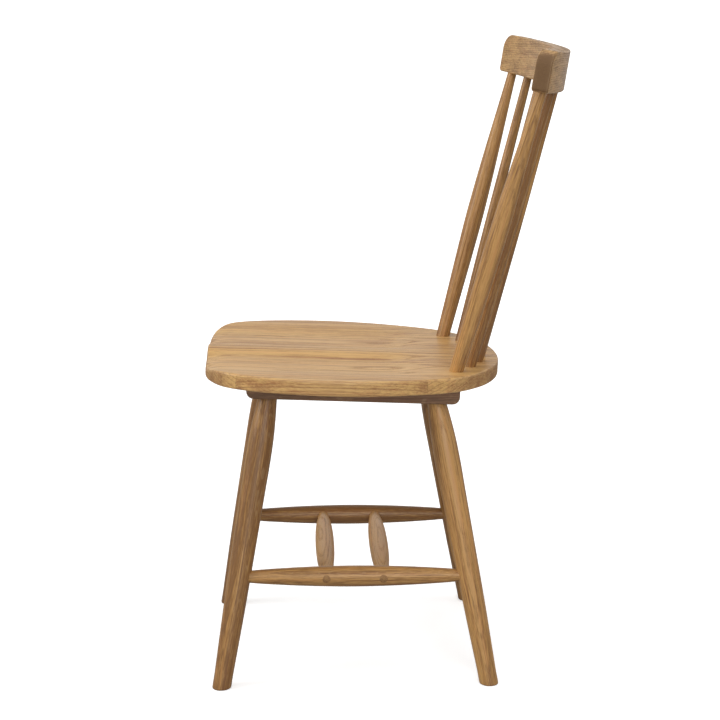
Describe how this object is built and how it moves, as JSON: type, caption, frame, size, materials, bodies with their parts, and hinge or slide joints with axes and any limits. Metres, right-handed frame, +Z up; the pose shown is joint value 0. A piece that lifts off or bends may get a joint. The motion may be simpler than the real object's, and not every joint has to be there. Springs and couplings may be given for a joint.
{
  "type": "dining chair",
  "caption": "Solid wood dining chair: saddled D-shaped seat, splayed turned legs tied by turned stretchers, raked spindle back with a curved crest rail.",
  "frame": {"origin": "on the floor, under the middle of the chair's overall box", "axes": "+Z up, front of the chair towards -Y, +X the right hand side seen from the front"},
  "size_m": [0.4138, 0.5036, 0.8708],
  "materials": {
    "oak_seat": "oiled oak, satin",
    "oak_crest": "oiled oak, satin",
    "oak_turned": "turned oak, oiled, satin",
    "oak_batten": "sawn and sanded oak, oiled",
    "screw_steel": "zinc plated"
  },
  "bodies": {
    "root": {"seat": "oak_seat", "crest_rail": "oak_crest", "back_post_left": "oak_turned", "back_post_right": "oak_turned", "back_spindle_1": "oak_turned", "back_spindle_2": "oak_turned", "back_spindle_3": "oak_turned", "back_spindle_4": "oak_turned", "back_spindle_5": "oak_turned", "back_spindle_6": "oak_turned", "leg_front_left": "oak_turned", "leg_front_right": "oak_turned", "leg_rear_left": "oak_turned", "leg_rear_right": "oak_turned", "side_stretcher_left": "oak_turned", "side_stretcher_right": "oak_turned", "cross_stretcher_front": "oak_turned", "cross_stretcher_rear": "oak_turned", "seat_batten_left": "oak_batten", "seat_batten_right": "oak_batten", "batten_screw_left_1": "screw_steel", "batten_screw_left_2": "screw_steel", "batten_screw_left_3": "screw_steel", "batten_screw_right_1": "screw_steel", "batten_screw_right_2": "screw_steel", "batten_screw_right_3": "screw_steel"}
  },
  "joints": []
}
